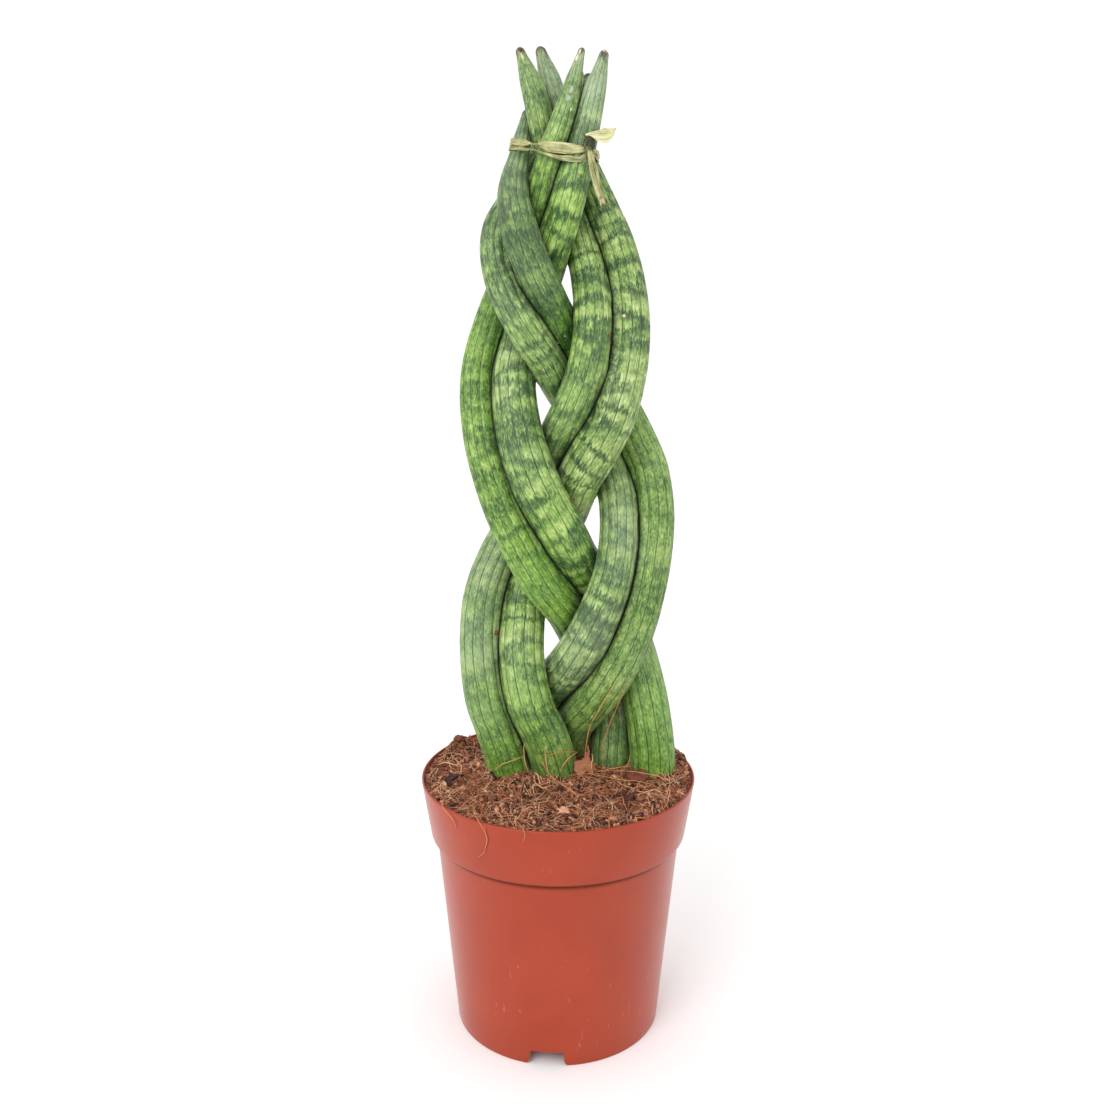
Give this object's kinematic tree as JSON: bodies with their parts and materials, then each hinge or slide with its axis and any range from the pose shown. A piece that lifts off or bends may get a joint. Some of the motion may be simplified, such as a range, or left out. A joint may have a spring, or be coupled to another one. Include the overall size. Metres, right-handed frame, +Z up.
{
  "type": "cylindrical snake plant in a nursery pot",
  "caption": "Potted cylindrical snake plant: ribbed round leaves plaited into an upright braid, tied with raffia under the tips, standing in coir soil in a stepped plastic nursery pot.",
  "frame": {"origin": "centre of the pot's foot, on the surface the pot stands on", "axes": "+Z up along the braid, +Y to the back of the plant, +X to its right"},
  "size_m": [0.12, 0.12, 0.4154],
  "materials": {
    "pot_plastic": "moulded terracotta-coloured polypropylene, semi-gloss",
    "soil": "loose reddish-brown coir and peat with tan fibres",
    "leaf": "waxy ribbed leaf skin with grey-green cross bands",
    "raffia": "dry fibrous ribbon, matt"
  },
  "bodies": {
    "root": {"pot": "pot_plastic", "soil": "soil", "leaf_a1": "leaf", "leaf_a2": "leaf", "leaf_b1": "leaf", "leaf_b2": "leaf", "leaf_c1": "leaf", "leaf_c2": "leaf", "tie": "raffia"}
  },
  "joints": []
}
